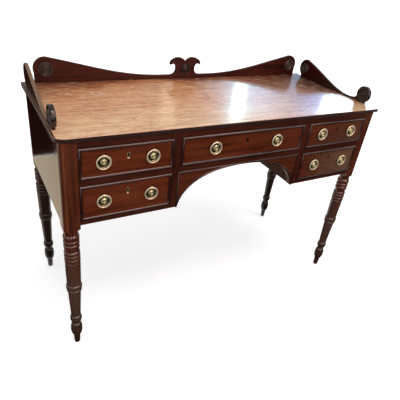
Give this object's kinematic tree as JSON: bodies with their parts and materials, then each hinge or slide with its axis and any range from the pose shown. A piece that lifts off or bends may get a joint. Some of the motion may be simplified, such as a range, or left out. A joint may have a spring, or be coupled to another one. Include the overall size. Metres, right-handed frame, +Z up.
{
  "type": "kneehole desk",
  "caption": "Mahogany kneehole desk on turned legs: a scrolled gallery round the top, small drawers in the pedestals, a wide drawer over an arched apron, and brass ring pulls.",
  "frame": {"origin": "on the floor, under the middle of the top's width and depth", "axes": "+X to the right as seen from the front, +Y from the front to the back, +Z up; the front faces -Y"},
  "size_m": [1.22, 0.5001, 0.8749],
  "materials": {
    "faded_mahogany": "faded and polished, with scratches",
    "dark_mahogany": "old dark polish",
    "red_mahogany": "old red-brown polish",
    "turned_mahogany": "old polish on turned wood",
    "drawer_oak": "bare, dry wood",
    "brass": "aged, polished on its high places"
  },
  "bodies": {
    "carcase": {"top_board": "faded_mahogany", "frieze_rail": "dark_mahogany", "centre_board": "dark_mahogany", "apron": "dark_mahogany", "back_panel": "dark_mahogany", "gallery_back": "dark_mahogany", "gallery_left": "dark_mahogany", "gallery_right": "dark_mahogany", "roundel_crest": "dark_mahogany", "side_panel_left": "dark_mahogany", "partition_left": "dark_mahogany", "mid_board_left": "dark_mahogany", "bottom_board_left": "dark_mahogany", "roundel_back_left": "dark_mahogany", "roundel_side_left": "dark_mahogany", "side_panel_right": "dark_mahogany", "partition_right": "dark_mahogany", "mid_board_right": "dark_mahogany", "bottom_board_right": "dark_mahogany", "roundel_back_right": "dark_mahogany", "roundel_side_right": "dark_mahogany", "leg_front_left": "turned_mahogany", "leg_front_right": "turned_mahogany", "leg_back_left": "turned_mahogany", "leg_back_right": "turned_mahogany"},
    "drawer_upper_left": {"drawer_front_upper_left": "red_mahogany", "drawer_box_upper_left": "drawer_oak", "lock_upper_left": "brass", "pull_plate_upper_left_left": "brass", "pull_plate_upper_left_right": "brass"},
    "drawer_upper_right": {"drawer_front_upper_right": "red_mahogany", "drawer_box_upper_right": "drawer_oak", "lock_upper_right": "brass", "pull_plate_upper_right_left": "brass", "pull_plate_upper_right_right": "brass"},
    "drawer_lower_left": {"drawer_front_lower_left": "red_mahogany", "drawer_box_lower_left": "drawer_oak", "lock_lower_left": "brass", "pull_plate_lower_left_left": "brass", "pull_plate_lower_left_right": "brass"},
    "drawer_lower_right": {"drawer_front_lower_right": "red_mahogany", "drawer_box_lower_right": "drawer_oak", "lock_lower_right": "brass", "pull_plate_lower_right_left": "brass", "pull_plate_lower_right_right": "brass"},
    "drawer_centre": {"drawer_front_centre": "red_mahogany", "drawer_box_centre": "drawer_oak", "lock_centre": "brass", "pull_plate_centre_left": "brass", "pull_plate_centre_right": "brass"},
    "ring_upper_left_left": {"ring_upper_left_left": "brass"},
    "ring_upper_left_right": {"ring_upper_left_right": "brass"},
    "ring_upper_right_left": {"ring_upper_right_left": "brass"},
    "ring_upper_right_right": {"ring_upper_right_right": "brass"},
    "ring_lower_left_left": {"ring_lower_left_left": "brass"},
    "ring_lower_left_right": {"ring_lower_left_right": "brass"},
    "ring_lower_right_left": {"ring_lower_right_left": "brass"},
    "ring_lower_right_right": {"ring_lower_right_right": "brass"},
    "ring_centre_left": {"ring_centre_left": "brass"},
    "ring_centre_right": {"ring_centre_right": "brass"}
  },
  "joints": [
    {"name": "upper_left_slide", "type": "slide", "parent": "carcase", "child": "drawer_upper_left", "axis": [0, -1, 0], "range_m": [0, 0.28]},
    {"name": "upper_right_slide", "type": "slide", "parent": "carcase", "child": "drawer_upper_right", "axis": [0, -1, 0], "range_m": [0, 0.28]},
    {"name": "lower_left_slide", "type": "slide", "parent": "carcase", "child": "drawer_lower_left", "axis": [0, -1, 0], "range_m": [0, 0.28]},
    {"name": "lower_right_slide", "type": "slide", "parent": "carcase", "child": "drawer_lower_right", "axis": [0, -1, 0], "range_m": [0, 0.28]},
    {"name": "centre_slide", "type": "slide", "parent": "carcase", "child": "drawer_centre", "axis": [0, -1, 0], "range_m": [0, 0.28]},
    {"name": "upper_left_left_ring", "type": "hinge", "parent": "drawer_upper_left", "child": "ring_upper_left_left", "pos_m": [-0.48324, -0.2485, 0.7312], "axis": [-1, 0, 0], "range_deg": [0, 120]},
    {"name": "upper_left_right_ring", "type": "hinge", "parent": "drawer_upper_left", "child": "ring_upper_left_right", "pos_m": [-0.33626, -0.2485, 0.7312], "axis": [-1, 0, 0], "range_deg": [0, 120]},
    {"name": "upper_right_left_ring", "type": "hinge", "parent": "drawer_upper_right", "child": "ring_upper_right_left", "pos_m": [0.33626, -0.2485, 0.7312], "axis": [-1, 0, 0], "range_deg": [0, 120]},
    {"name": "upper_right_right_ring", "type": "hinge", "parent": "drawer_upper_right", "child": "ring_upper_right_right", "pos_m": [0.48324, -0.2485, 0.7312], "axis": [-1, 0, 0], "range_deg": [0, 120]},
    {"name": "lower_left_left_ring", "type": "hinge", "parent": "drawer_lower_left", "child": "ring_lower_left_left", "pos_m": [-0.48324, -0.2485, 0.6062], "axis": [-1, 0, 0], "range_deg": [0, 120]},
    {"name": "lower_left_right_ring", "type": "hinge", "parent": "drawer_lower_left", "child": "ring_lower_left_right", "pos_m": [-0.33626, -0.2485, 0.6062], "axis": [-1, 0, 0], "range_deg": [0, 120]},
    {"name": "lower_right_left_ring", "type": "hinge", "parent": "drawer_lower_right", "child": "ring_lower_right_left", "pos_m": [0.33626, -0.2485, 0.6062], "axis": [-1, 0, 0], "range_deg": [0, 120]},
    {"name": "lower_right_right_ring", "type": "hinge", "parent": "drawer_lower_right", "child": "ring_lower_right_right", "pos_m": [0.48324, -0.2485, 0.6062], "axis": [-1, 0, 0], "range_deg": [0, 120]},
    {"name": "centre_left_ring", "type": "hinge", "parent": "drawer_centre", "child": "ring_centre_left", "pos_m": [-0.12302, -0.2485, 0.7312], "axis": [-1, 0, 0], "range_deg": [0, 120]},
    {"name": "centre_right_ring", "type": "hinge", "parent": "drawer_centre", "child": "ring_centre_right", "pos_m": [0.12302, -0.2485, 0.7312], "axis": [-1, 0, 0], "range_deg": [0, 120]}
  ]
}
